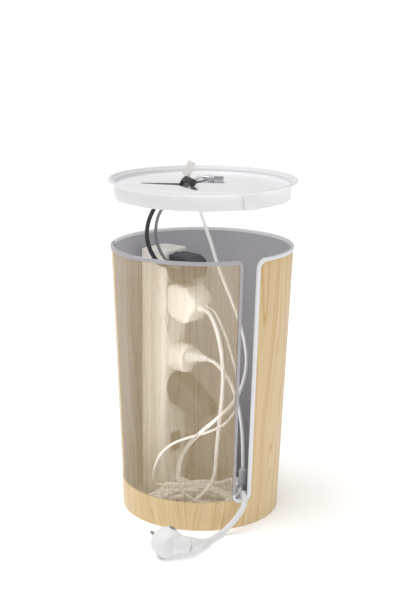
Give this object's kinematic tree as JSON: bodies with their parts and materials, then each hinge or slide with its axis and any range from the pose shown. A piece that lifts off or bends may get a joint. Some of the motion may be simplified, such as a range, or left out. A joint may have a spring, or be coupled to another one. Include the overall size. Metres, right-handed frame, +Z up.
{
  "type": "power strip in a cable tower",
  "caption": "Round wood-look cable tower with a see-through side, lead slot and lift-off tray lid, holding an upright switched power strip with plugs and leads.",
  "frame": {"origin": "middle of the tower's footprint, on the floor", "axes": "+Z up; -Y to the front, where the see-through side faces; +X to the right, towards the lead slot"},
  "size_m": [0.24, 0.3167, 0.4545],
  "materials": {
    "wood_skin": "satin pine veneer with a vertical grain",
    "window": "clear panel tinted like the wood, with a faint grain",
    "liner": "satin grey",
    "trim_white": "satin",
    "trim_frosted": "frosted",
    "lid_white": "semi-gloss moulded",
    "collar_grey": "satin",
    "base_grey": "matte",
    "strip_white": "fine moulded texture",
    "well_white": "smooth",
    "brass": "bright",
    "steel": "plain sheet",
    "pin_metal": "nickel plated",
    "charger_white": "semi-gloss moulded",
    "black_plastic": "fine texture",
    "lead_white": "smooth soft sheath",
    "lead_black": "smooth soft sheath",
    "lead_grey": "smooth soft sheath",
    "connector_grey": "satin",
    "connector_metal": "satin metal shell"
  },
  "bodies": {
    "root": {"outer_shell": "wood_skin", "window_panel": "window", "inner_liner": "liner", "edge_trim": "trim_white", "window_trim": "trim_frosted", "base_plate": "base_grey", "strip_cover": "strip_white", "strip_base": "strip_white", "neutral_bar": "brass", "live_bar": "brass", "earth_bar": "brass", "switch_frame": "black_plastic", "cover_screw_1": "steel", "cover_screw_2": "steel", "strip_strain_relief": "strip_white", "top_plug": "black_plastic", "top_plug_pins": "pin_metal", "mains_plug": "charger_white", "mains_plug_pins": "pin_metal", "mains_plug_relief": "charger_white", "mains_coil": "lead_white", "mains_lead_in": "lead_white", "mains_lead_out": "lead_white", "charger_coil": "lead_white", "charger_lead": "lead_white", "thin_lead": "lead_white", "charger_connector": "charger_white", "thin_connector": "charger_white", "adapter_lead": "lead_white", "inline_connector": "connector_grey", "black_lead": "lead_black", "black_connector": "black_plastic", "tray_lead": "lead_white", "black_riser": "lead_black", "grey_riser": "lead_grey", "socket_well_1": "well_white", "earth_clip_1": "steel", "socket_well_2": "well_white", "earth_clip_2": "steel", "socket_well_3": "well_white", "earth_clip_3": "steel", "socket_well_4": "well_white", "earth_clip_4": "steel", "socket_well_5": "well_white", "earth_clip_5": "steel"},
    "lid": {"lid_tray": "lid_white", "cable_collar": "collar_grey", "tray_connector": "connector_metal", "black_tray_connector": "black_plastic", "flat_tray_connector": "charger_white"},
    "rocker": {"rocker_switch": "black_plastic"},
    "cube": {"cube_charger": "charger_white", "cube_charger_pins": "pin_metal"},
    "adapter": {"round_adapter": "charger_white", "round_adapter_pins": "pin_metal", "small_plug": "charger_white", "small_plug_pins": "pin_metal"},
    "black": {"black_plug": "black_plastic", "black_plug_pins": "pin_metal"}
  },
  "joints": [
    {"name": "lid_lift", "type": "slide", "parent": "root", "child": "lid", "axis": [0, 0, 1], "range_m": [-0.0808, 0.02], "deforming": ["tray_lead", "black_riser", "grey_riser"]},
    {"name": "switch_rock", "type": "hinge", "parent": "root", "child": "rocker", "pos_m": [-0.03788, 0.02716, 0.073], "axis": [0.6, 0.8, 0], "range_deg": [0, 16]},
    {"name": "cube_pull", "type": "slide", "parent": "root", "child": "cube", "axis": [0.8, -0.6, 0], "range_m": [0, 0.04], "deforming": ["charger_lead", "thin_lead"]},
    {"name": "adapter_pull", "type": "slide", "parent": "root", "child": "adapter", "axis": [0.8, -0.6, 0], "range_m": [0, 0.04], "deforming": ["adapter_lead"]},
    {"name": "black_pull", "type": "slide", "parent": "root", "child": "black", "axis": [0.8, -0.6, 0], "range_m": [0, 0.04], "deforming": ["black_lead"]}
  ]
}
